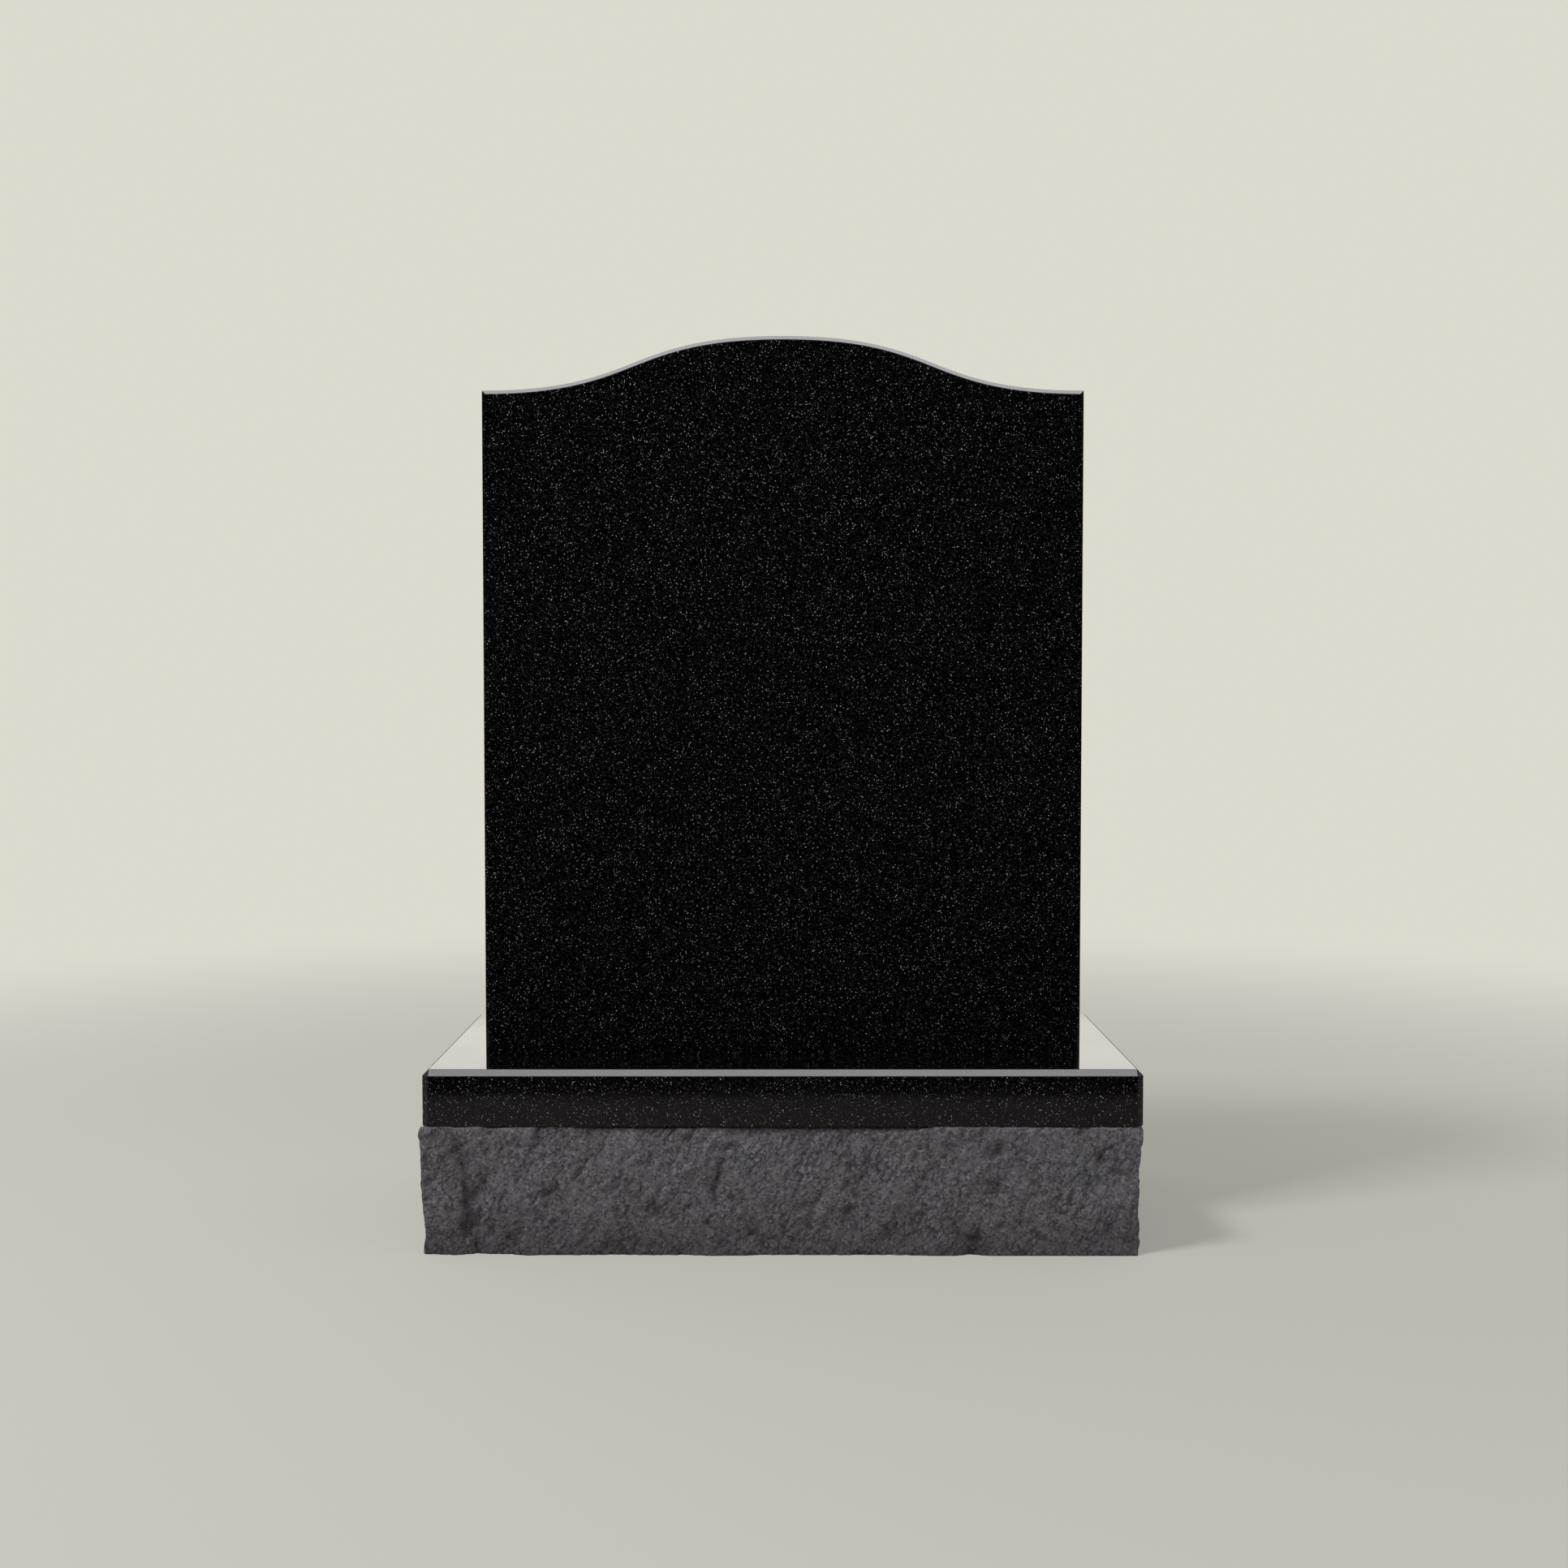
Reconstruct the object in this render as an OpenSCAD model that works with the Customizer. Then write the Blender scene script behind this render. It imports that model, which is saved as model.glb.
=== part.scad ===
// Upright granite headstone in three stones: a polished tablet with a serpentine top,
// a polished plinth, and a rock-pitched base with sawn beds.
// Millimetres, +Z up, the front looks along -Y. The origin is the centre of the underside.

/* [Tablet] */
// Width of the tablet
tablet_w = 600; // [450:5:680]
// Height of the tablet at its square shoulders
shoulder_h = 666; // [400:1:900]
// Rise of the serpentine crown above the shoulders
crown_rise = 54; // [15:1:160]
// Thickness of the tablet
tablet_t = 180; // [80:1:250]
// Level reach of the curve on each side of the crown
crown_reach = 161; // [60:1:220]
// Level reach of the curve in from each shoulder
shoulder_reach = 161; // [60:1:220]
// Width of the sawn arris round the front and back faces
tablet_arris = 4; // [1:0.5:8]

/* [Plinth] */
// Width of the plinth
plinth_w = 700; // [600:5:1000]
// Depth of the plinth from front to back
plinth_d = 340; // [280:5:480]
// Height of the plinth
plinth_h = 55; // [30:1:120]
// Width of the sawn arris on the top edges and the corners
plinth_arris = 6; // [1:0.5:12]

/* [Rock base] */
// Height of the rock-pitched base
base_h = 125; // [80:1:250]
// How far the pitched faces stand out past the plinth at their proudest
rock_proud = 6; // [1:0.5:12]
// How far the pitched faces fall back inside the plinth at their deepest
rock_hollow = 8; // [1:0.5:12]
// Spacing of the scallops left by the pitching tool
scallop_w = 74; // [40:1:120]
// Lean of the scallops from upright, in degrees
scallop_lean = 32; // [0:1:60]
// Drop of the broken top arris below the plinth's bed, at its mean
arris_drop = 1.9; // [0.5:0.1:4]
// Width of the broken strip between a pitched face and the sawn top bed
arris_strip = 10; // [4:0.5:20]

/* [Hidden] */

curve_steps = 40;                 // straight steps in each half of the tablet's top
rock_cell = 16;                   // spacing of the points on a pitched face
plinth_z = base_h;                // the plinth beds on the rock base
tablet_z = plinth_z + plinth_h;   // the tablet beds on the plinth
polished = [0.06, 0.06, 0.065];
pitched = [0.32, 0.32, 0.33];

// The four pitched faces, anticlockwise from the front:
// [direction along, direction outward, length, phase of its relief in degrees]
rock_sides = [
    [[1, 0], [0, -1], plinth_w, 90],
    [[0, 1], [1, 0], plinth_d, 130],
    [[-1, 0], [0, 1], plinth_w, 250],
    [[0, -1], [-1, 0], plinth_d, 310]
];

// Waves on a pitched face: [degrees per mm along, degrees per mm up, times its phase, height]
swells = [[0.83, 0, 2, 0.55], [2.3, 1.7, 1, 0.35], [-1.1, 4.7, 3, 0.3]];
scallop_wander = [[1.3, 2.1, 1, 35], [1.1, -0.9, 2, 50]];
drop_waves = [[0.69, 0, 1, 0.55], [2.18, 0, 1, 0.4]];

// Deeper breaks in the front face, and fuller places where the depth is negative:
// [distance along from the middle, height, half width, half height, depth]
front_breaks = [
    [-305, 30, 17, 75, 1.5],
    [-345, 40, 22, 60, 0.5],
    [-120, 95, 60, 22, 0.35],
    [40, 118, 110, 16, 0.4],
    [245, 8, 110, 40, -0.75],
    [340, 45, 22, 60, 0.7]
];

function sum(list, i = 0) = i == len(list) ? 0 : list[i] + sum(list, i + 1);

// Point t of the cubic curve that leaves a towards b and reaches d from c
function bezier(a, b, c, d, t) =
    pow(1 - t, 3) * a + 3 * pow(1 - t, 2) * t * b + 3 * (1 - t) * t * t * c + pow(t, 3) * d;

// Direction of travel along the same curve
function bezier_run(a, b, c, d, t) =
    pow(1 - t, 2) * (b - a) + 2 * (1 - t) * t * (c - b) + t * t * (d - c);

// The tablet's top from the left shoulder to the crown, drawn in by inset along its normal
function half_top(inset) =
    let (a = [-tablet_w / 2, shoulder_h],
         b = a + [shoulder_reach, 0],
         d = [0, shoulder_h + crown_rise],
         c = d - [crown_reach, 0])
    [for (i = [0 : curve_steps])
        let (t = i / curve_steps,
             run = bezier_run(a, b, c, d, t),
             inward = [run[1], -run[0]] / norm(run))
        bezier(a, b, c, d, t) + inset * (inward + (i == 0 ? [1, 0] : [0, 0]))];

// Outline of the tablet, clockwise from its bottom left, drawn in by inset except at its bed
function tablet_outline(inset) =
    let (left = half_top(inset),
         right = [for (i = [curve_steps - 1 : -1 : 0]) [-left[i][0], left[i][1]]])
    concat([[left[0][0], 0]], left, right, [[right[curve_steps - 1][0], 0]]);

// Faces of a closed skin over a stack of rings of count points. The two points that follow the
// rings are the middles of the near cap and the far cap.
function stack_faces(rings, count) =
    [for (i = [0 : count - 1])
        let (next = (i + 1) % count, far = (rings - 1) * count)
        each concat(
            [[i, next, rings * count]],
            [for (r = [0 : rings - 2])
                let (a = r * count + i, b = r * count + next)
                each [[b, a, a + count], [b, a + count, b + count]]],
            [[far + next, far + i, rings * count + 1]])];

function wave_sum(waves, phase, u, z) =
    sum([for (w = waves) w[3] * sin(w[0] * u + w[1] * z + w[2] * phase)]);

// Relief of a pitched face before it is stretched to its limits: slanting scallops with crisp
// ridges between them, long swells and, on the front, its own breaks
function rock_raw(side, u, z) =
    let (phase = rock_sides[side][3],
         across = u * cos(scallop_lean) - z * sin(scallop_lean),
         turn = 180 * across / scallop_w + wave_sum(scallop_wander, phase, u, z) + phase,
         breaks = side > 0 ? [] : front_breaks)
    wave_sum(swells, phase, u, z) - abs(sin(turn))
        - sum([for (b = breaks) b[4] * exp(-pow((u - b[0]) / b[2], 2) - pow((z - b[1]) / b[3], 2))]);

// Drop of the broken top arris at a distance u from a side's middle
function rock_drop(side, u) =
    arris_drop * (1 + wave_sum(drop_waves, rock_sides[side][3], u, 0));

function rock_columns(side) = round(rock_sides[side][2] / rock_cell);
rock_rows = round(base_h / rock_cell);

// Places on a side, [distance along, height], column by column and row by row
function rock_places(side) =
    let (n = rock_columns(side), length = rock_sides[side][2])
    [for (i = [0 : n])
        let (u = length * (i / n - 0.5), top = base_h - rock_drop(side, u))
        [for (j = [0 : rock_rows]) [u, top * j / rock_rows]]];

// Relief in millimetres at the same places, stretched so that it just reaches both limits
function rock_relief(side) =
    let (raw = [for (column = rock_places(side)) [for (p = column) rock_raw(side, p[0], p[1])]],
         all = [for (column = raw) each column],
         low = min(all),
         high = max(all))
    [for (column = raw) [for (v = column)
        -rock_hollow + (rock_proud + rock_hollow) * (v - low) / (high - low)]];

module rock_base() {
    places = [for (s = [0 : 3]) rock_places(s)];
    relief = [for (s = [0 : 3]) rock_relief(s)];
    // a column that starts a side is a corner, and moves with both of its faces
    function column(s, i, j) =
        let (side = rock_sides[s],
             before = (s + 3) % 4,
             reach = rock_sides[before][2] / 2,
             corner = i > 0 ? [0, 0] :
                 relief[before][rock_columns(before)][j] * rock_sides[before][1],
             plan = places[s][i][j][0] * side[0] + reach * side[1]
                 + relief[s][i][j] * side[1] + corner)
        [plan[0], plan[1], places[s][i][j][1]];
    function bed(s, i) =
        let (side = rock_sides[s],
             reach = rock_sides[(s + 3) % 4][2] / 2,
             u = places[s][i][0][0],
             plan = u * (1 - 2 * arris_strip / side[2]) * side[0] + (reach - arris_strip) * side[1])
        [plan[0], plan[1], base_h];
    spots = [for (s = [0 : 3]) each [for (i = [0 : rock_columns(s) - 1]) [s, i]]];
    rings = concat(
        [for (j = [0 : rock_rows]) [for (p = spots) column(p[0], p[1], j)]],
        [[for (p = spots) bed(p[0], p[1])]]);
    color(pitched)
        polyhedron(
            points = concat([for (ring = rings) each ring], [[0, 0, 0], [0, 0, base_h]]),
            faces = stack_faces(len(rings), len(spots)));
}

module plinth() {
    // three boxes, each short of the arris on two of its three sides, leave all the cut edges
    color(polished)
        translate([0, 0, plinth_z])
            hull()
                for (cut = plinth_arris * [[1, 0, 1], [0, 1, 1], [1, 1, 0]])
                    translate([0, 0, (plinth_h - cut[2]) / 2])
                        cube([plinth_w, plinth_d, plinth_h] - [2 * cut[0], 2 * cut[1], cut[2]],
                             center = true);
}

module tablet() {
    // each slice is [how far back it lies, how far its outline is drawn in]
    slices = [[0, tablet_arris],
              [tablet_arris, 0],
              [tablet_t - tablet_arris, 0],
              [tablet_t, tablet_arris]];
    rings = [for (s = slices) [for (p = tablet_outline(s[1])) [p[0], s[0], p[1]]]];
    middles = [for (y = [0, tablet_t]) [0, y, shoulder_h / 2]];
    color(polished)
        translate([0, -tablet_t / 2, tablet_z])
            polyhedron(
                points = concat([for (ring = rings) each ring], middles),
                faces = stack_faces(len(rings), len(rings[0])));
}

tablet();
plinth();
rock_base();
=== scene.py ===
import math

import bpy
import numpy as np
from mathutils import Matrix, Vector


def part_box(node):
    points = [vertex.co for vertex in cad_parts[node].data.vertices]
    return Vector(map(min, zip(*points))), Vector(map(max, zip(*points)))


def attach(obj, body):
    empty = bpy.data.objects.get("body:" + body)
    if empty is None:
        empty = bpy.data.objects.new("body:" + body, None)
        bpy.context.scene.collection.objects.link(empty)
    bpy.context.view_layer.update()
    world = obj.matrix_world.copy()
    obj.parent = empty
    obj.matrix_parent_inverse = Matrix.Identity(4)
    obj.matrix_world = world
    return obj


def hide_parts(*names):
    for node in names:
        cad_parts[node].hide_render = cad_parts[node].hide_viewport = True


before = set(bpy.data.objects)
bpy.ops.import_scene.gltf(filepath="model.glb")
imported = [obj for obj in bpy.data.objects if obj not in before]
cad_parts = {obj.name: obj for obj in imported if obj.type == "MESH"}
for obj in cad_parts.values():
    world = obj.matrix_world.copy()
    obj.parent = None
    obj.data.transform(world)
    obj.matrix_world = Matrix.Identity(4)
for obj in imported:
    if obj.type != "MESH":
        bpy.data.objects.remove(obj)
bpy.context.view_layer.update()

mm = 0.001


def addNode(tree, kind, inputs=None, **settings):
    # one node of a shader tree, with its plain settings and socket values
    node = tree.nodes.new("ShaderNode" + kind)
    for name, value in settings.items():
        setattr(node, name, value)
    for socket, value in (inputs or {}).items():
        if isinstance(value, bpy.types.NodeSocket):
            tree.links.new(value, node.inputs[socket])
        else:
            node.inputs[socket].default_value = value
    return node


def math2(tree, operation, a, b, clamp=False):
    # the result socket of a two-value Math node
    return addNode(tree, "Math", {0: a, 1: b}, operation=operation, use_clamp=clamp).outputs[0]


def ramp(tree, value, low, high, toLow=0.0, toHigh=1.0):
    # value carried smoothly from low..high to toLow..toHigh
    node = addNode(tree, "MapRange", {"Value": value, "From Min": low, "From Max": high,
                                      "To Min": toLow, "To Max": toHigh},
                   interpolation_type="SMOOTHSTEP")
    return node.outputs["Result"]


def mixColours(tree, factor, a, b):
    # colour a turned into colour b by factor
    node = addNode(tree, "Mix", data_type="RGBA")
    sockets = {"Factor": node.inputs[0], "A": node.inputs[6], "B": node.inputs[7]}
    for name, value in (("Factor", factor), ("A", a), ("B", b)):
        if isinstance(value, bpy.types.NodeSocket):
            tree.links.new(value, sockets[name])
        else:
            sockets[name].default_value = value
    return node.outputs[2]


def noise(tree, coords, size, detail, roughness=0.5, distortion=0.0):
    # the sockets of a smooth noise whose largest blobs are about size across
    return addNode(tree, "TexNoise", {"Vector": coords, "Scale": 1 / size, "Detail": detail,
                                      "Roughness": roughness, "Distortion": distortion}).outputs


def meshFrom(name, points, quads, caps=()):
    # a mesh object from an array of points, an array of quads and a few extra faces
    mesh = bpy.data.meshes.new(name)
    mesh.from_pydata(np.asarray(points, float).tolist(), [],
                     np.asarray(quads, int).tolist() + [list(cap) for cap in caps])
    mesh.validate()
    mesh.update()
    piece = bpy.data.objects.new(name, mesh)
    bpy.context.scene.collection.objects.link(piece)
    return piece


def loopQuads(rings, count):
    # quads between each ring of count points and the next, every ring closed on itself
    ring = np.arange(rings - 1)[:, None] * count
    here = np.arange(count)[None, :]
    after = (here + 1) % count
    return np.stack([ring + here, ring + after, ring + count + after, ring + count + here],
                    axis=-1).reshape(-1, 4)


def shadeSmooth(piece):
    # every face takes its shading from the normals at its corners
    piece.data.polygons.foreach_set("use_smooth", np.ones(len(piece.data.polygons), bool))
    piece.data.update()


def sharpenBed(piece):
    # the edges of the underside stay sharp, so the faces above it are shaded true
    mesh = piece.data
    height = np.empty(len(mesh.vertices) * 3)
    mesh.vertices.foreach_get("co", height)
    height = height[2::3]
    edges = np.empty(len(mesh.edges) * 2, int)
    mesh.edges.foreach_get("vertices", edges)
    low = height[edges.reshape(-1, 2)].max(axis=1) < height.min() + 1e-6
    mesh.edges.foreach_set("use_edge_sharp", low)


def markSkyward(piece):
    # the upward part of each face's normal, kept with the face for its material
    mesh = piece.data
    normals = np.empty(len(mesh.polygons) * 3)
    mesh.polygons.foreach_get("normal", normals)
    skyward = mesh.attributes.new("skyward", "FLOAT", "FACE")
    skyward.data.foreach_set("value", normals[2::3])


# the tablet: a serpentine outline carried from front to back
tablet = {
    "shoulder": 666 * mm,       # bed to the square shoulders
    "crownReach": 161 * mm,     # level reach of the curve beside the crown
    "shoulderReach": 161 * mm,  # level reach of the curve in from a shoulder
    "arris": 4 * mm,
    "edgeRound": 0.5 * mm,      # softening of every sawn edge by the polishing
    "curveSteps": 72,
    "roundSteps": 4,
}


def roundCorner(corner, backward, forward, reach, steps):
    # a parabola arc that leaves corner + reach * backward and arrives at corner + reach * forward,
    # with one support point on the straight a little before it and one after it
    support = 1.7 * reach
    s = np.linspace(0, 1, steps + 1)[:, None]
    start, end = corner + reach * backward, corner + reach * forward
    arc = (1 - s) ** 2 * start + 2 * s * (1 - s) * corner + s ** 2 * end
    return np.vstack([corner + support * backward, arc, corner + support * forward])


def tabletOutline(inset, width, crown):
    # the left half is a cubic curve from the shoulder, level at both ends:
    # P(t) = (1-t)^3 A + 3(1-t)^2 t B + 3(1-t) t^2 C + t^3 D, drawn in along its normal by inset.
    # The right half is its mirror image, and the sides run straight down to the bed.
    a = np.array([-width / 2, tablet["shoulder"]])
    b = a + [tablet["shoulderReach"], 0]
    d = np.array([0, crown])
    c = d - [tablet["crownReach"], 0]
    t = np.linspace(0, 1, tablet["curveSteps"] + 1)[:, None]
    curve = (1 - t) ** 3 * a + 3 * (1 - t) ** 2 * t * b + 3 * (1 - t) * t ** 2 * c + t ** 3 * d
    run = (1 - t) ** 2 * (b - a) + 2 * (1 - t) * t * (c - b) + t ** 2 * (d - c)
    run /= np.linalg.norm(run, axis=1)[:, None]
    curve += inset * np.stack([run[:, 1], -run[:, 0]], axis=1)
    shoulder = curve[0] + [inset, 0]
    forward = curve[1] - shoulder
    corner = roundCorner(shoulder, np.array([0, -1.0]), forward / np.linalg.norm(forward),
                         tablet["edgeRound"], tablet["roundSteps"])
    left = np.vstack([[shoulder[0], 0], corner, curve[1:]])
    return np.vstack([left, (left * [-1, 1])[-2::-1]])


def arrisProfile(depth):
    # section of a face edge as (distance back, distance drawn in): face, arris, side, arris, face
    cut, soft, steps = tablet["arris"], tablet["edgeRound"], tablet["roundSteps"]
    slope = np.array([1, -1]) / math.sqrt(2)
    inward = np.array([0, 1.0])
    onward = np.array([1.0, 0])
    front = np.vstack([roundCorner(np.array([0, cut]), inward, slope, soft, steps),
                       roundCorner(np.array([cut, 0]), -slope, onward, soft, steps)])
    back = front[::-1].copy()
    back[:, 0] = depth - back[:, 0]
    return np.vstack([front, back])


def makeTablet():
    # one ring of the outline for each place on the section, from the front face to the back face.
    # Each half of a face is a ladder of quads between a ring's left half and its right half.
    low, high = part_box("tablet")
    profile = arrisProfile(high.y - low.y)
    rings = []
    for distance, inset in profile:
        outline = tabletOutline(inset, high.x - low.x, high.z - low.z)
        rings.append(np.column_stack([outline[:, 0], np.full(len(outline), low.y + distance),
                                      low.z + outline[:, 1]]))
    count = len(rings[0])
    half = count // 2
    rung = np.arange(half)
    mirror = count - 1 - rung
    ladder = np.stack([rung, mirror, mirror - 1, rung + 1], axis=1)[:-1]
    tip = np.array([half - 1, half + 1, half])
    last = (len(rings) - 1) * count
    # the two rings that lie in a face meet the bed on one line, so a fan fills the bed from there
    # to the third ring, in place of the first two bed quads
    walls = loopQuads(len(rings), count).reshape(len(rings) - 1, count, 4)
    bed = walls[2:-2, -1]
    walls = walls[:, :-1].reshape(-1, 4)
    edge = np.array([0, count, 2 * count, 3 * count - 1, 2 * count - 1, count - 1])
    fan = np.column_stack([np.full(4, edge[2]), edge[[3, 4, 5, 0]], edge[[4, 5, 0, 1]]])
    turned = last + count - 1 - fan  # the same fan, turned half round to the back
    caps = np.vstack([tip, last + tip[::-1], fan, turned])
    piece = meshFrom("tablet_stone", np.vstack(rings),
                     np.vstack([walls, bed, ladder, last + ladder[:, ::-1]]), caps.tolist())
    shadeSmooth(piece)
    sharpenBed(piece)
    markSkyward(piece)
    return piece


# the plinth: a plate with cut edges, softened by the polishing
plinth = {"arris": 6 * mm, "edgeRound": 0.6 * mm, "roundSteps": 3}


def makePlinth():
    # the eight-sided foot runs up to the arris, and the smaller rectangle is the top face
    low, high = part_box("plinth")
    x, y, cut = high.x, high.y, plinth["arris"]
    foot = np.array([[x - cut, -y], [x, cut - y], [x, y - cut], [x - cut, y],
                     [cut - x, y], [-x, y - cut], [-x, cut - y], [cut - x, -y]])
    top = np.array([[x - cut, cut - y], [x - cut, y - cut], [cut - x, y - cut], [cut - x, cut - y]])
    points = np.vstack([np.column_stack([foot, np.full(8, low.z)]),
                        np.column_stack([foot, np.full(8, high.z - cut)]),
                        np.column_stack([top, np.full(4, high.z)])])
    i = np.arange(8)
    walls = np.stack([i, (i + 1) % 8, 8 + (i + 1) % 8, 8 + i], axis=1)
    k = np.arange(4)
    corners = np.stack([8 + 2 * k, 8 + 2 * k + 1, 16 + k], axis=1)
    slopes = np.stack([8 + (2 * k + 1), 8 + (2 * k + 2) % 8, 16 + (k + 1) % 4, 16 + k], axis=1)
    piece = meshFrom("plinth_stone", points, np.vstack([walls, slopes]),
                     [*corners.tolist(), [16, 17, 18, 19], list(range(7, -1, -1))])
    markSkyward(piece)
    soft = piece.modifiers.new("edges", "BEVEL")
    soft.width = plinth["edgeRound"]
    soft.segments = plinth["roundSteps"]
    soft.limit_method = "NONE"
    soft.harden_normals = True
    shadeSmooth(piece)
    return piece


# the rock base: a sawn block whose four faces are pitched off with a chisel
rockBase = {
    "step": 1.8 * mm,           # spacing of the points on a pitched face
    "strip": 10 * mm,           # broken strip between a pitched face and the sawn bed
    "cornerReach": 16 * mm,     # how far a face is stretched by the one round the corner
    # all that follows is in millimetres and degrees
    "proud": 6,                 # past the plinth at the proudest
    "hollow": 8,                # inside it at the deepest
    "easing": 2,                # how far short of both the relief begins to level off
    "swell": 5.5,               # range of the large swelling
    "scallopWidth": 74,
    "scallopLean": 32,
    "phases": [90, 130, 250, 310],  # one for each face, so that no two are alike
    # waves: degrees per millimetre along and up, times the phase, height
    "swells": [(0.83, 0, 2, 0.55), (2.3, 1.7, 1, 0.35), (-1.1, 4.7, 3, 0.3)],
    "wander": [(1.3, 2.1, 1, 35), (1.1, -0.9, 2, 50)],
    # lumps left by the chisel: width, length, lean in degrees, height, seed
    "lumps": [(32, 60, 28, 2.1, 3), (11, 28, 22, 2.9, 11), (6.2, 8.6, 22, 1.4, 23)],
    "lumpDrift": (0.35, 0.25),  # how far their grid wanders, across and along, in cells
    "lumpScatter": 0.8,         # of the lumps' middles about their cells
    "lumpSteps": 0.35,          # how much lower some lumps stand than others
    "grit": [(0.2, 3.1, 61), (0.15, 1.9, 62)],       # finest relief: height, size, seed
    "arrisGrit": [(0.55, 9, 40), (0.35, 3.5, 50)],   # the same along the broken arris
    # seams of the front, where two spalls meet: place, lean, half width, depth, middle, half height
    "frontSeams": [(-309, -0.17, 7.0, 3.0, 42, 82), (-66, 0.24, 4.8, 2.0, 70, 62),
                   (62, 0.02, 4.0, 1.6, 75, 50), (139, 0.06, 4.0, 1.3, 95, 38),
                   (96, -0.05, 3.6, 1.3, 28, 30), (-205, 0.45, 3.6, 1.5, 82, 34),
                   (-22, 0.30, 5.0, 1.2, 30, 26), (190, 0.55, 4.0, 1.3, 80, 34),
                   (-168, 0.42, 3.2, 1.4, 66, 40), (-122, 0.50, 3.2, 1.4, 58, 44),
                   (-252, 0.30, 3.4, 1.2, 60, 40), (10, 0.35, 3.0, 1.0, 84, 30),
                   (238, 0.30, 3.4, 1.2, 50, 40), (292, 0.10, 3.4, 1.3, 84, 36)],
    # seams of the other faces: spacing, then the least and the most of the same five measures
    "seamSpacing": 92,
    "seamRanges": [(-0.15, 0.35), (3.2, 5.2), (1.0, 2.4), (30, 90), (35, 80)],
    "seamSway": [(3.5, 21), (1.5, 7)],  # distance and size of a seam's wandering
    "seamSill": (0.35, 24),     # how far the stone beyond stands back, and how soon it swells out
    "seamShade": 0.55,          # share of a seam's depth that paints shade into its colour
    # the front's reach past the plinth, along its broken arris and along its foot
    "arrisAlong": (-350, -330, -287, -208, -185, -130, -82, -51, 107, 154, 225, 248),
    "arrisReach": (1.5, 3, 0, 0, -2.8, -2.8, 0, -2.7, -2.7, 1.5, 3.5, 0),
    "arrisDropAlong": (-292, -279, -262, -210, -185, -110, -95, -65, -50, 130, 150, 310),
    "arrisDrop": (0.2, 2.6, 0.8, 0.8, 2.8, 2.8, 1.4, 1.4, 3.2, 3.2, 0.5, 0.7),
    "footAlong": (-342, -320, -298, -266, -248, -225, -90, -71, -40, -20, 120, 137, 155, 180, 206,
                  294),
    "footReach": (-1.6, 1.2, -1.6, -1.6, 3.9, 1.2, 1.2, 3.9, 3.9, 1.2, 1.2, 3.9, 5.5, 1.2, 5.5,
                  5.5),
    # the reach of the two front corners, from the ground up
    "cornerHeights": (0, 5, 13, 21, 37, 52, 68, 84, 100, 108, 116, 122),
    "leftCorner": (-2, -2, -2.8, -2.5, -1.1, 0.8, 0.9, 1.2, 1.9, 2.7, 2.9, 1.3),
    "rightCorner": (-5.8, -5.7, -4.4, -4.4, -4.4, -4.9, -4.5, -3.6, -2.5, -1, -0.1, 0.1),
    # how far into a face its arris, its foot and those corners hold their own reach
    "arrisHold": 24,
    "footHold": 18,
    "rightHold": 45,
    "leftHold": 22,
    "wornEnds": (1.2, 5),       # depth and reach of the wear at both ends of a face
    "wornArris": (1.3, 3),      # and along its arris
    "drop": 1.9,                # mean drop of the broken arris on the other faces
    "dropWaves": [(0.69, 0, 1, 0.55), (2.18, 0, 1, 0.4)],
}


def randomAt(cells, seed):
    # an even random number for each whole-number cell, from the fraction of a large sine
    mixed = cells[..., 0] * 127.1 + cells[..., 1] * 311.7 + seed * 74.7
    return np.modf(np.abs(np.sin(mixed) * 43758.5453))[0]


def softNoise(u, z, size, seed):
    # random values at the corners of square cells of that size, blended by 3f^2 - 2f^3 between them
    grid = np.stack([u, z], axis=-1) / size
    cell = np.floor(grid)
    f = grid - cell
    f = f * f * (3 - 2 * f)
    corner = [randomAt(cell + [i, j], seed) for j in (0, 1) for i in (0, 1)]
    low = corner[0] + (corner[1] - corner[0]) * f[..., 0]
    high = corner[2] + (corner[3] - corner[2]) * f[..., 0]
    return 2 * (low + (high - low) * f[..., 1]) - 1


def lumpRelief(u, z, width, length, lean, seed):
    # domes that meet in crisp creases: less the distance, squared, to the nearest of a jittered
    # grid of middles, in a plane turned by lean and stretched to width by length
    turn = math.radians(lean)
    across = (u * math.cos(turn) - z * math.sin(turn)) / width
    along = (u * math.sin(turn) + z * math.cos(turn)) / length
    driftAcross, driftAlong = rockBase["lumpDrift"]
    across = across + driftAcross * softNoise(u, z, width * 0.9, seed + 5)
    along = along + driftAlong * softNoise(u, z, width * 1.1, seed + 6)
    spot = np.stack([across, along], axis=-1)
    cell = np.floor(spot)
    best = np.full(u.shape, 9.0)  # farther than any middle
    for i in (-1, 0, 1):
        for j in (-1, 0, 1):
            near = cell + [i, j]
            jitter = np.stack([randomAt(near, seed), randomAt(near, seed + 1)], axis=-1) - 0.5
            middle = near + 0.5 + rockBase["lumpScatter"] * jitter
            lower = rockBase["lumpSteps"] * randomAt(near, seed + 2)
            best = np.minimum(best, ((spot - middle) ** 2).sum(axis=-1) + lower)
    return 0.5 - best


def waveSum(waves, phase, u, z):
    # a sum of sines: height * sin(along * u + up * z + times * phase), all in degrees
    return sum(height * np.sin(np.radians(along * u + up * z + times * phase))
               for along, up, times, height in waves)


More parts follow.
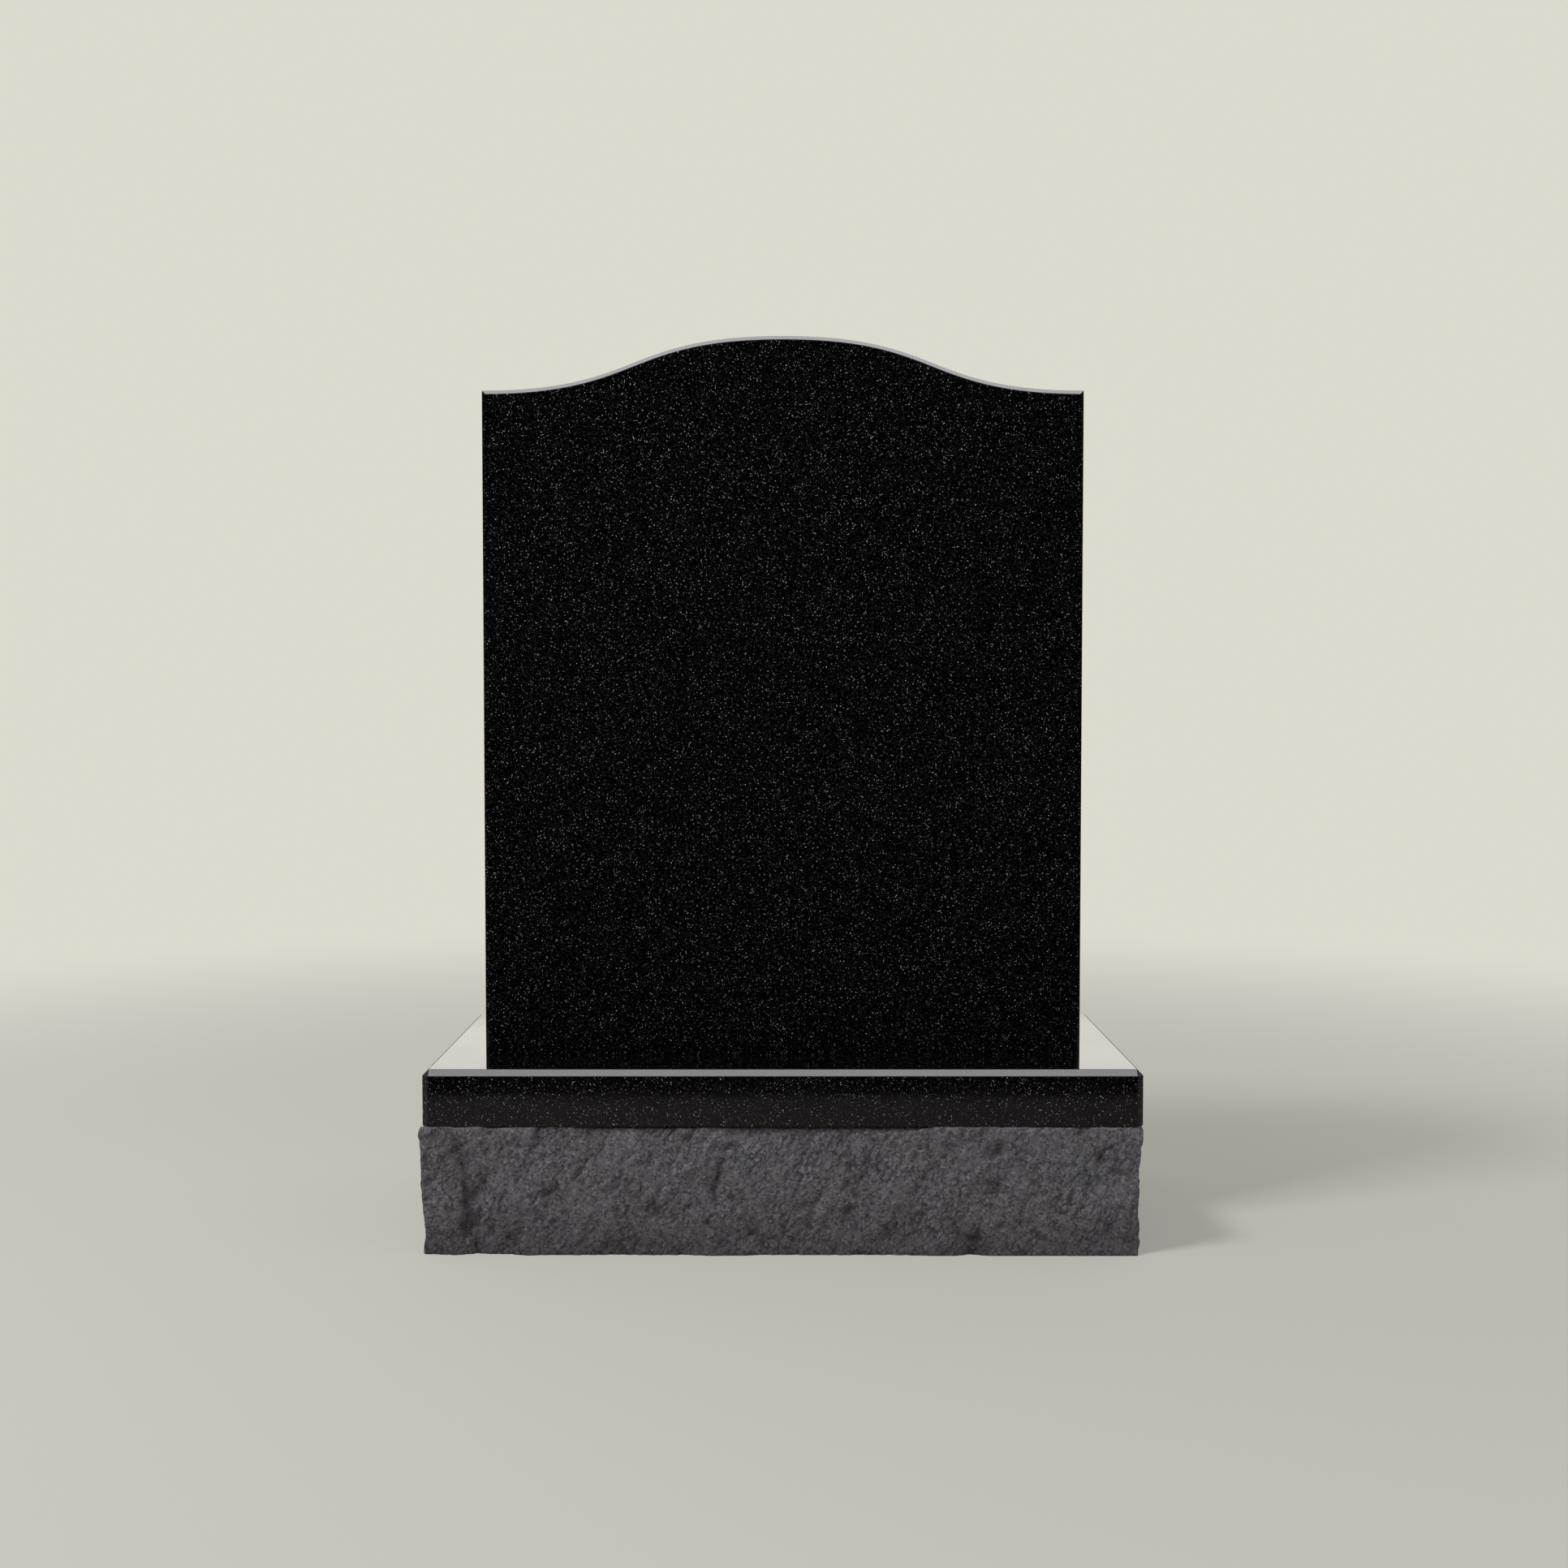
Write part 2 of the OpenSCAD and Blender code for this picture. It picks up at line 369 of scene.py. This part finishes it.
def largeRelief(side, u, z):
    # swells, less the crisp-ridged scallops |sin|, brought to the range of the large swelling
    phase = rockBase["phases"][side]
    lean = math.radians(rockBase["scallopLean"])
    across = u * math.cos(lean) - z * math.sin(lean)
    turn = (180 * across / rockBase["scallopWidth"] + waveSum(rockBase["wander"], phase, u, z)
            + phase)
    relief = waveSum(rockBase["swells"], phase, u, z) - np.abs(np.sin(np.radians(turn)))
    return rockBase["swell"] * (relief - relief.mean()) / (relief.max() - relief.min())


def seamsOf(side, length):
    # the front's own seams, or one at a random place in every stretch of another face, each of its
    # measures a random number carried to that measure's range
    if side == 0:
        return rockBase["frontSeams"]
    spacing = rockBase["seamSpacing"]
    low, high = np.array(rockBase["seamRanges"]).T
    seams = []
    for i in range(int(length // spacing)):
        a, b, c, d = randomAt(np.array([[i + k, side] for k in (0, 20, 40, 60)]), 7)
        spot = (i + 0.25 + 0.5 * a) * spacing - length / 2
        seams.append((spot, *(low + (high - low) * [b, c, d, c, a])))
    return seams


def seamRelief(side, length, u, z):
    # each seam is a cusp -depth * exp(-|d| / width), where d is the level distance from its
    # leaning, wandering line; the stone beyond it stands back a little and swells out again
    midHeight = 62
    (sway, swaySize), (shake, shakeSize) = rockBase["seamSway"]
    sill, sillReach = rockBase["seamSill"]
    relief = np.zeros(u.shape)
    for spot, lean, width, depth, middle, reach in seamsOf(side, length):
        d = (u - spot - lean * (z - midHeight) + sway * softNoise(u, z, swaySize, spot)
             + shake * softNoise(u, z, shakeSize, 5))
        fade = np.exp(-((z - middle) / reach) ** 4)
        beyond = np.where(d > 0, sill * np.exp(-np.abs(d) / sillReach), 0)
        relief -= depth * fade * (np.exp(-np.abs(d) / width) + beyond)
    return relief


def pulled(relief, distance, reach, target):
    # relief drawn to target where the distance is small, by exp(-(distance / reach)^2)
    return relief + np.exp(-(distance / reach) ** 2) * (target - relief)


def gritOf(layers, side, u, z):
    # a sum of soft noises, each of its own height and size
    return sum(rise * softNoise(u, z, size, seed + side) for rise, size, seed in layers)


def levelled(relief):
    # past limit - e the relief v becomes limit - e * exp((limit - e - v) / e), so that it nears the
    # limit but never reaches it, and the same towards the hollow
    proud, hollow, e = rockBase["proud"], rockBase["hollow"], rockBase["easing"]
    relief = np.where(relief > proud - e, proud - e * np.exp((proud - e - relief) / e), relief)
    return np.where(relief < e - hollow, e * np.exp((relief + hollow - e) / e) - hollow, relief)


def pitchedSide(side, length, height, columns, rows):
    # heights, outward relief, and the depth of the creases with a share of the seams' that sets
    # their painted shade, of one face on a grid of columns + 1 by rows + 1. The relief is the
    # swells, drawn to the reach of the face's edges, plus seams, grit and lumps, less the wear:
    # depth * exp(-distance / reach) from both ends and from the arris.
    length, height = length / mm, height / mm
    u = (np.linspace(-0.5, 0.5, columns + 1) * length)[:, None]
    if side == 0:
        drop = np.interp(u, rockBase["arrisDropAlong"], rockBase["arrisDrop"])
    else:
        waves = waveSum(rockBase["dropWaves"], rockBase["phases"][side], u, 0)
        drop = rockBase["drop"] * (1 + waves)
    drop = drop + gritOf(rockBase["arrisGrit"], side, u, u * 0)
    z = (height - np.maximum(drop, 0)) * np.linspace(0, 1, rows + 1)[None, :]
    u = np.broadcast_to(u, z.shape)
    relief = largeRelief(side, u, z)
    if side == 0:
        arris = np.interp(u, rockBase["arrisAlong"], rockBase["arrisReach"])
        foot = np.interp(u, rockBase["footAlong"], rockBase["footReach"])
        relief = pulled(relief, height - z, rockBase["arrisHold"], arris)
        relief = pulled(relief, z, rockBase["footHold"], foot)
    elif side == 1:
        corner = np.interp(z, rockBase["cornerHeights"], rockBase["rightCorner"])
        relief = pulled(relief, u + length / 2, rockBase["rightHold"], corner)
    elif side == 3:
        corner = np.interp(z, rockBase["cornerHeights"], rockBase["leftCorner"])
        relief = pulled(relief, u - length / 2, rockBase["leftHold"], corner)
    seams = seamRelief(side, length, u, z)
    creases = gritOf(rockBase["grit"], 0, u, z)
    for width, long, lean, rise, seed in rockBase["lumps"]:
        creases = creases + rise * lumpRelief(u + 900 * side, z, width, long, lean, seed + side)
    (ends, endReach), (top, topReach) = rockBase["wornEnds"], rockBase["wornArris"]
    worn = (ends * np.exp((np.abs(u) - length / 2) / endReach)
            + top * np.exp((z - z[:, -1:]) / topReach))
    relief = levelled(relief + seams + creases - worn)
    return z * mm, relief * mm, creases + rockBase["seamShade"] * seams


def makeRockBase():
    # the four faces stand end to end as rings of points from the ground up. A last ring leads in to
    # the sawn bed, and a fan round a middle point closes each bed.
    low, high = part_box("plinth")
    width, depth, height = high.x - low.x, high.y - low.y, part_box("rock_base")[1].z
    directions = [((1, 0), (0, -1), width), ((0, 1), (1, 0), depth),
                  ((-1, 0), (0, 1), width), ((0, -1), (-1, 0), depth)]
    rows = round(height / rockBase["step"])
    sides = []
    for side, (along, out, length) in enumerate(directions):
        columns = round(length / rockBase["step"])
        sides.append((np.array(along), np.array(out), length, columns,
                      *pitchedSide(side, length, height, columns, rows)))
    strips, beds, creaseShadeDepths = [], [], []
    for side, (along, out, length, columns, z, relief, creaseShadeDepth) in enumerate(sides):
        reach = sides[side - 1][2] / 2
        start, finish = sides[side - 1][5][-1], sides[(side + 1) % 4][5][0]
        u = np.linspace(-0.5, 0.5, columns + 1)[:-1, None] * length
        # each end of the face is carried out or in with the face round the corner
        shift = (finish * np.exp((u - length / 2) / rockBase["cornerReach"])
                 - start * np.exp(-(u + length / 2) / rockBase["cornerReach"]))
        plan = (u + shift)[..., None] * along + (reach + relief[:-1])[..., None] * out
        strips.append(np.concatenate([plan, z[:-1, :, None]], axis=-1))
        bed = u * (1 - 2 * rockBase["strip"] / length) * along + (reach - rockBase["strip"]) * out
        beds.append(np.column_stack([bed, np.full(columns, height)]))
        creaseShadeDepths.append(creaseShadeDepth[:-1])
    wall = np.concatenate(strips).transpose(1, 0, 2)
    count = wall.shape[1]
    bed = np.concatenate(beds)
    points = np.vstack([wall.reshape(-1, 3), bed, [[0, 0, 0], [0, 0, height]]])
    quads = loopQuads(rows + 2, count)
    here = np.arange(count)
    after = (here + 1) % count
    top = (rows + 1) * count
    middle = len(points) - 2
    caps = np.vstack([np.column_stack([after, here, np.full(count, middle)]),
                      np.column_stack([top + here, top + after, np.full(count, middle + 1)])])
    piece = meshFrom("rock_base_stone", points, quads, caps.tolist())
    broken = np.arange(len(piece.data.polygons)) < rows * count  # the sawn beds stay flat
    piece.data.polygons.foreach_set("use_smooth", broken)
    # the depth of the creases and seams, which the material turns into painted shade
    hollow = piece.data.attributes.new("hollow", "FLOAT", "POINT")
    values = np.zeros(len(points))
    values[:rows * count + count] = np.concatenate(creaseShadeDepths).T.ravel()
    hollow.data.foreach_set("value", values)
    return piece


# black granite, polished
polish = {
    "black": (0.0002, 0.0002, 0.0003, 1),
    "deepGreen": (0.0004, 0.0008, 0.0007, 1),
    "cloudSize": 26 * mm,       # of the faint green clouds in the ground
    "cloudRange": (0.35, 0.7),  # levels of their noise, from none to full
    "fleckCool": (0.85, 0.90, 1.0, 1),
    "fleckWarm": (0.98, 0.96, 1.0, 1),
    # layers of flecks: cell of the crystal grid, length, width, brightest, power of its fade, seed
    "flecks": [(1.8 * mm, 1.5 * mm, 0.7 * mm, 0.62, 5.2, 0.0),
               (1.2 * mm, 1.0 * mm, 0.6 * mm, 0.060, 1.6, 0.37)],
    "clusterSize": 9.5 * mm,    # of the loose clusters that the flecks gather in
    "clusterRange": (0.34, 0.62),
    "clusterGain": (0.78, 1.0),  # of the flecks between the clusters and within them
    "fleckEdge": (1.1, 0.85),   # from outside a fleck to inside it, in its own half sizes
    "upwardFleckShade": 0.35,         # painted shade: share of the flecks left on faces that look up and catch more light
    "upwardRange": (0.2, 0.7),  # upward part of the normal, from upright faces to those
    "roughness": (0.055, 0.083),
    "smearSize": 110 * mm,      # of the smears that vary the roughness
    "smearRange": (0.3, 0.75),
    "fleckRoughness": 0.13,     # more on a fleck than beside it
    "fleckRelief": (0.08, 0.1 * mm),  # strength and height of the flecks' bump
    "ior": 1.5,
}


def newMaterial(name):
    # an empty material with a Principled shader, and its object coordinates
    material = bpy.data.materials.new(name)
    material.use_nodes = True
    tree = material.node_tree
    tree.nodes.clear()
    shader = addNode(tree, "BsdfPrincipled")
    output = addNode(tree, "OutputMaterial")
    tree.links.new(shader.outputs["BSDF"], output.inputs["Surface"])
    coords = addNode(tree, "TexCoord").outputs["Object"]
    return material, tree, shader, coords


def fleckLayer(tree, coords, cell, length, width, brightest, fade, seed):
    # one rod-shaped crystal in each cell of a jittered grid: the vector from its centre is turned
    # by a random angle and divided by the rod's half sizes, and is inside where it is under 1.
    # Its brightness is a random number to the power of fade.
    shift = (seed, seed * 2.3, seed * 1.7)  # sets one layer's grid apart from another's
    moved = addNode(tree, "VectorMath", {0: coords, 1: shift}, operation="ADD").outputs[0]
    cells = addNode(tree, "TexVoronoi", {"Vector": moved, "Scale": 1 / cell})
    away = addNode(tree, "VectorMath", {0: moved, 1: cells.outputs["Position"]},
                   operation="SUBTRACT").outputs[0]
    fullTurn = [6.28] * 3  # radians about each axis
    turns = addNode(tree, "VectorMath", {0: cells.outputs["Color"], 1: fullTurn},
                    operation="MULTIPLY").outputs[0]
    turned = addNode(tree, "VectorRotate", {"Vector": away, "Rotation": turns},
                     rotation_type="EULER_XYZ").outputs[0]
    squeezed = addNode(tree, "VectorMath", {0: turned, 1: (2 / length, 2 / width, 2 / width)},
                       operation="MULTIPLY").outputs[0]
    reach = addNode(tree, "VectorMath", {0: squeezed}, operation="LENGTH").outputs["Value"]
    inside = ramp(tree, reach, *polish["fleckEdge"])
    chance = addNode(tree, "TexWhiteNoise", {"Vector": cells.outputs["Position"]}).outputs["Value"]
    bright = math2(tree, "MULTIPLY", math2(tree, "POWER", chance, fade), brightest)
    return math2(tree, "MULTIPLY", inside, bright), chance


def polishedGranite(name, fleckGain):
    # near-black ground with faint green clouds, and pale crystals gathered in loose clusters
    material, tree, shader, coords = newMaterial(name)
    clouds = ramp(tree, noise(tree, coords, polish["cloudSize"], 3.0)["Fac"],
                  *polish["cloudRange"])
    clusters = ramp(tree, noise(tree, coords, polish["clusterSize"], 2.0, 0.6)["Fac"],
                    *polish["clusterRange"], *polish["clusterGain"])
    (bold, chance), (faint, _) = [fleckLayer(tree, coords, *layer) for layer in polish["flecks"]]
    light = math2(tree, "MULTIPLY", math2(tree, "MAXIMUM", bold, faint), clusters)
    # painted shade: the flecks are painted fainter on faces that look up and catch more light
    skyward = addNode(tree, "Attribute", attribute_name="skyward").outputs["Fac"]
    gain = ramp(tree, skyward, *polish["upwardRange"], fleckGain, fleckGain * polish["upwardFleckShade"])
    light = math2(tree, "MULTIPLY", light, gain, clamp=True)
    ground = mixColours(tree, clouds, polish["black"], polish["deepGreen"])
    tone = mixColours(tree, chance, polish["fleckCool"], polish["fleckWarm"])
    tree.links.new(mixColours(tree, light, ground, tone), shader.inputs["Base Color"])
    smears = noise(tree, coords, polish["smearSize"], 4.0)["Fac"]
    rough = math2(tree, "ADD", math2(tree, "MULTIPLY", light, polish["fleckRoughness"]),
                  ramp(tree, smears, *polish["smearRange"], *polish["roughness"]))
    tree.links.new(rough, shader.inputs["Roughness"])
    shader.inputs["IOR"].default_value = polish["ior"]
    strength, height = polish["fleckRelief"]
    bump = addNode(tree, "Bump", {"Height": light, "Strength": strength, "Distance": height})
    tree.links.new(bump.outputs["Normal"], shader.inputs["Normal"])
    return material


# dark grey granite, broken by the chisel
pitched = {
    "cool": (0.162, 0.161, 0.193, 1),
    "warm": (0.170, 0.150, 0.167, 1),
    "dark": (0.014, 0.012, 0.015, 1),
    "pale": (0.30, 0.29, 0.33, 1),
    "patchSize": 42 * mm,       # of the cool and warm patches
    "patchRange": (0.33, 0.53),  # of their noise less the height in metres, from cool to warm
    "crystalSize": 2.0 * mm,
    "crystalSteps": 0.3,        # how much higher pale crystals stand, as a share of the relief
    "grainSize": 2.5 * mm,
    "pebbleSize": 3.7 * mm,
    "pebbleLength": 2.6,        # in widths
    "pebbleLean": (-0.5, 0.5, 0),  # turn about x and y, in radians, that leans them to one side
    "pebbleDrift": (3 * mm, 5 * mm),  # how far the pebbles are pushed out of shape, over what size
    "pebbleEdge": (0.42, 0.85),  # how far from a pebble's middle its edge starts, and is full
    # painted shade along the pebbles' edges, where the bump sinks between them
    "pebbleEdgeShade": 0.65,
    "ruggedSize": 26 * mm,      # of the stretches where the pebbles stand out
    "rugged": (0.38, 0.62, 0.15, 0.85),  # levels of their noise, and how much they do so at each
    # where each shade starts, where it is full, and its share at both
    "crystalDark": (0.5, 0.0, 0.0, 0.55),
    "crystalPale": (0.78, 1.0, 0.0, 0.62),
    "grainDark": (0.46, 0.3, 0.0, 0.8),
    "creaseShade": (0.6, -1.9, 0.0, 0.72),      # painted shade in the creases, by their relief in millimetres
    "footShade": (58 * mm, 0.0, 0.0, 0.42),     # painted shade, by the height above the ground: darker towards the ground
    "roughness": (0.82, 0.62),
    "relief": 1.6 * mm,         # height of the bump
}


def pitchedGranite():
    # broken crystal faces: cool patches above and warm ones below, salt-and-pepper crystals, rugged
    # stretches of long leaning pebbles with painted shade along their edges, painted shade in the
    # creases, and painted shade at the foot, darker towards the ground
    material, tree, shader, coords = newMaterial("pitchedGranite")
    up = addNode(tree, "SeparateXYZ", {"Vector": coords}).outputs["Z"]
    patches = noise(tree, coords, pitched["patchSize"], 6.0, 0.66, 0.5)["Fac"]
    warmth = ramp(tree, math2(tree, "SUBTRACT", patches, up), *pitched["patchRange"])
    crystals = addNode(tree, "TexVoronoi", {"Vector": coords, "Scale": 1 / pitched["crystalSize"]})
    tone = addNode(tree, "SeparateColor", {"Color": crystals.outputs["Color"]}).outputs[0]
    grain = noise(tree, coords, pitched["grainSize"], 4.0, 0.75)["Fac"]
    push, pushSize = pitched["pebbleDrift"]
    drift = addNode(tree, "VectorMath", {0: noise(tree, coords, pushSize, 2.0)["Color"],
                                         1: [push] * 3}, operation="MULTIPLY").outputs[0]
    moved = addNode(tree, "VectorMath", {0: coords, 1: drift}, operation="ADD").outputs[0]
    leaned = addNode(tree, "Mapping", {"Vector": moved, "Rotation": pitched["pebbleLean"],
                                       "Scale": (1, 1, pitched["pebbleLength"])},
                     vector_type="TEXTURE").outputs[0]
    pebbles = addNode(tree, "TexVoronoi", {"Vector": leaned, "Scale": 1 / pitched["pebbleSize"]})
    rugged = ramp(tree, noise(tree, coords, pitched["ruggedSize"], 2.0)["Fac"], *pitched["rugged"])
    edge = math2(tree, "MULTIPLY", rugged,
                 ramp(tree, pebbles.outputs["Distance"], *pitched["pebbleEdge"]))
    hollow = addNode(tree, "Attribute", attribute_name="hollow").outputs["Fac"]
    stone = mixColours(tree, warmth, pitched["cool"], pitched["warm"])
    # the last three are painted shade: along the pebbles' edges, in the creases and towards the
    # foot
    shades = [(ramp(tree, tone, *pitched["crystalDark"]), "dark"),
              (ramp(tree, tone, *pitched["crystalPale"]), "pale"),
              (ramp(tree, grain, *pitched["grainDark"]), "dark"),
              (math2(tree, "MULTIPLY", edge, pitched["pebbleEdgeShade"]), "dark"),
              (ramp(tree, hollow, *pitched["creaseShade"]), "dark"),
              (ramp(tree, up, *pitched["footShade"]), "dark")]
    for share, shade in shades:
        stone = mixColours(tree, share, stone, pitched[shade])
    tree.links.new(stone, shader.inputs["Base Color"])
    tree.links.new(ramp(tree, tone, 0.0, 1.0, *pitched["roughness"]), shader.inputs["Roughness"])
    steps = math2(tree, "MULTIPLY", tone, pitched["crystalSteps"])
    height = math2(tree, "SUBTRACT", math2(tree, "ADD", grain, steps), edge)
    bump = addNode(tree, "Bump", {"Height": height, "Strength": 1.0, "Distance": pitched["relief"]})
    tree.links.new(bump.outputs["Normal"], shader.inputs["Normal"])
    return material


def setPiece(piece, node, material):
    # the piece gets its material, and stands for its node on the one body
    piece.data.materials.append(material)
    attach(piece, "root")
    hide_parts(node)
    print(piece.name, "has", len(piece.data.polygons), "faces")


setPiece(makeTablet(), "tablet", polishedGranite("tabletGranite", 1.0))
setPiece(makePlinth(), "plinth", polishedGranite("plinthGranite", 0.95))
setPiece(makeRockBase(), "rock_base", pitchedGranite())


# a pale floor that fades into the backdrop, two soft boxes and a soft surrounding light
studio = {
    "floorColour": (0.57, 0.57, 0.525, 1),
    "floorReach": 60.0,
    "fade": (0.5, 2.6),         # the floor turns into the backdrop between these distances
    "floorGlow": (0.56, 0.55, 0.51, 1),
    "glowShare": 0.4,           # of the floor's own light by the stones, which keeps shadows soft
    # a darker floor that only the polished faces mirror: its half sizes where it starts to fade
    # and where it ends
    "nearFloor": ((1.0, 0.88), (1.7, 0.955)),
    "nearColour": (0.272, 0.232, 0.246, 1),
    "backdrop": (0.72, 0.70, 0.62, 1),
    "dark": 0.008,              # the unlit end of the studio, low all round
    "darkTop": (0.19, 0.225),   # rise of a sight line where the dark ends and the glow begins
    "darkTilt": 0.06,           # how much lower that is behind the stones
    # the glow above the dark: how far forward and back it turns, and its strength at each
    "glow": (-0.5, 0.5, 1.1, 1.75),
    "glowTop": (0.3, 0.5),      # rise where the glow turns into the sky
    "glowColour": (1.0, 0.97, 0.90, 1),
    "sky": 0.35,
    # soft boxes: width, depth, watts, where it hangs, where it looks, colour
    "overhead": (2.0, 1.5, 49.0, (0, -0.15, 2.6), (0, -0.15, 0.4), (1.0, 0.965, 1.01)),
    "key": (0.6, 0.6, 56.0, (-1.25, -0.95, 2.8), (0, 0, 0.4), (1.0, 0.98, 0.98)),
}


square = np.array([[-1, -1, 0], [1, -1, 0], [1, 1, 0], [-1, 1, 0]])


def makeFloor():
    # paint near the stones and the backdrop's own colour far from them. It isn't mirrored.
    material, tree, shader, coords = newMaterial("floorPaint")
    shader.inputs["Base Color"].default_value = studio["floorColour"]
    shader.inputs["Specular IOR Level"].default_value = 0.0
    away = addNode(tree, "VectorMath", {0: coords}, operation="LENGTH").outputs["Value"]
    far = ramp(tree, away, *studio["fade"])
    glow = addNode(tree, "Emission", {"Color": mixColours(tree, far, studio["floorGlow"],
                                                          studio["backdrop"])})
    share = ramp(tree, away, *studio["fade"], studio["glowShare"])
    both = addNode(tree, "MixShader", {0: share, 1: shader.outputs[0], 2: glow.outputs[0]})
    output = next(node for node in tree.nodes if node.type == "OUTPUT_MATERIAL")
    tree.links.new(both.outputs[0], output.inputs["Surface"])
    floor = meshFrom("floor", square * studio["floorReach"], [[0, 1, 2, 3]])
    floor.data.materials.append(material)
    floor.visible_glossy = False


def makeNearFloor():
    # a darker floor a hair above the other, seen only in the polish: its colour fades to black as
    # |x| and |y| go from the inner half sizes to the outer ones
    height = 0.05 * mm
    material, tree, shader, coords = newMaterial("floorNear")
    inner, outer = studio["nearFloor"]
    apart = addNode(tree, "VectorMath", {0: coords}, operation="ABSOLUTE").outputs[0]
    apart = addNode(tree, "SeparateXYZ", {"Vector": apart}).outputs
    left = math2(tree, "MULTIPLY", ramp(tree, apart["X"], inner[0], outer[0], 1.0, 0.0),
                 ramp(tree, apart["Y"], inner[1], outer[1], 1.0, 0.0))
    colour = mixColours(tree, left, (0, 0, 0, 1), studio["nearColour"])
    tree.links.new(colour, shader.inputs["Base Color"])
    shader.inputs["Specular IOR Level"].default_value = 0.0
    near = meshFrom("floor_near", square * [*outer, 1] + [0, 0, height], [[0, 1, 2, 3]])
    near.data.materials.append(material)
    near.visible_camera = near.visible_diffuse = near.visible_shadow = False


def makeSurroundings():
    # brightness by the rise of the sight line: unlit up to a level that is lower behind the stones,
    # then a glow, then a paler sky. The camera itself sees an even backdrop.
    world = bpy.data.worlds.new("studio")
    bpy.context.scene.world = world
    world.use_nodes = True
    tree = world.node_tree
    tree.nodes.clear()
    sight = addNode(tree, "SeparateXYZ", {"Vector": addNode(tree, "TexCoord").outputs["Generated"]})
    back, rise = sight.outputs["Y"], sight.outputs["Z"]
    level = math2(tree, "ADD", rise, math2(tree, "MULTIPLY", back, studio["darkTilt"]))
    glow = ramp(tree, rise, *studio["glowTop"], ramp(tree, back, *studio["glow"]), studio["sky"])
    strength = addNode(tree, "Mix", {0: ramp(tree, level, *studio["darkTop"]), 2: studio["dark"],
                                     3: glow}).outputs[0]
    soft = addNode(tree, "Background", {"Color": studio["glowColour"], "Strength": strength})
    seen = addNode(tree, "Background", {"Color": studio["backdrop"], "Strength": 1.0})
    ray = addNode(tree, "LightPath").outputs["Is Camera Ray"]
    both = addNode(tree, "MixShader", {0: ray, 1: soft.outputs[0], 2: seen.outputs[0]})
    output = addNode(tree, "OutputWorld")
    tree.links.new(both.outputs[0], output.inputs["Surface"])


def makeLight(name):
    # a soft box that looks from where it hangs to its target
    width, depth, watts, spot, target, colour = studio[name]
    light = bpy.data.lights.new(name, "AREA")
    light.shape = "RECTANGLE"
    light.size = width
    light.size_y = depth
    light.energy = watts
    light.color = colour
    lamp = bpy.data.objects.new(name, light)
    lamp.location = spot
    lamp.rotation_euler = (Vector(spot) - Vector(target)).to_track_quat("Z", "Y").to_euler()
    lamp.visible_camera = False
    bpy.context.scene.collection.objects.link(lamp)
    return lamp


# where the camera stands, from the middle of the plinth's front on the ground
view = {"lens": 43.91, "right": 1.2 * mm, "back": 1.8365, "up": 0.535, "downTurn": 2.423}


def makeCamera():
    # level across, and turned down by a few degrees
    data = bpy.data.cameras.new("camera")
    data.lens = view["lens"]
    camera = bpy.data.objects.new("camera", data)
    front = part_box("plinth")[0].y
    camera.location = (view["right"], front - view["back"], view["up"])
    camera.rotation_euler = (math.radians(90 - view["downTurn"]), 0, 0)
    bpy.context.scene.collection.objects.link(camera)
    bpy.context.scene.camera = camera


makeFloor()
makeNearFloor()
makeSurroundings()
makeLight("overhead").visible_diffuse = False  # it is only mirrored
makeLight("key").visible_glossy = False
makeCamera()
bpy.context.scene.view_settings.view_transform = "Standard"
print("studio set")
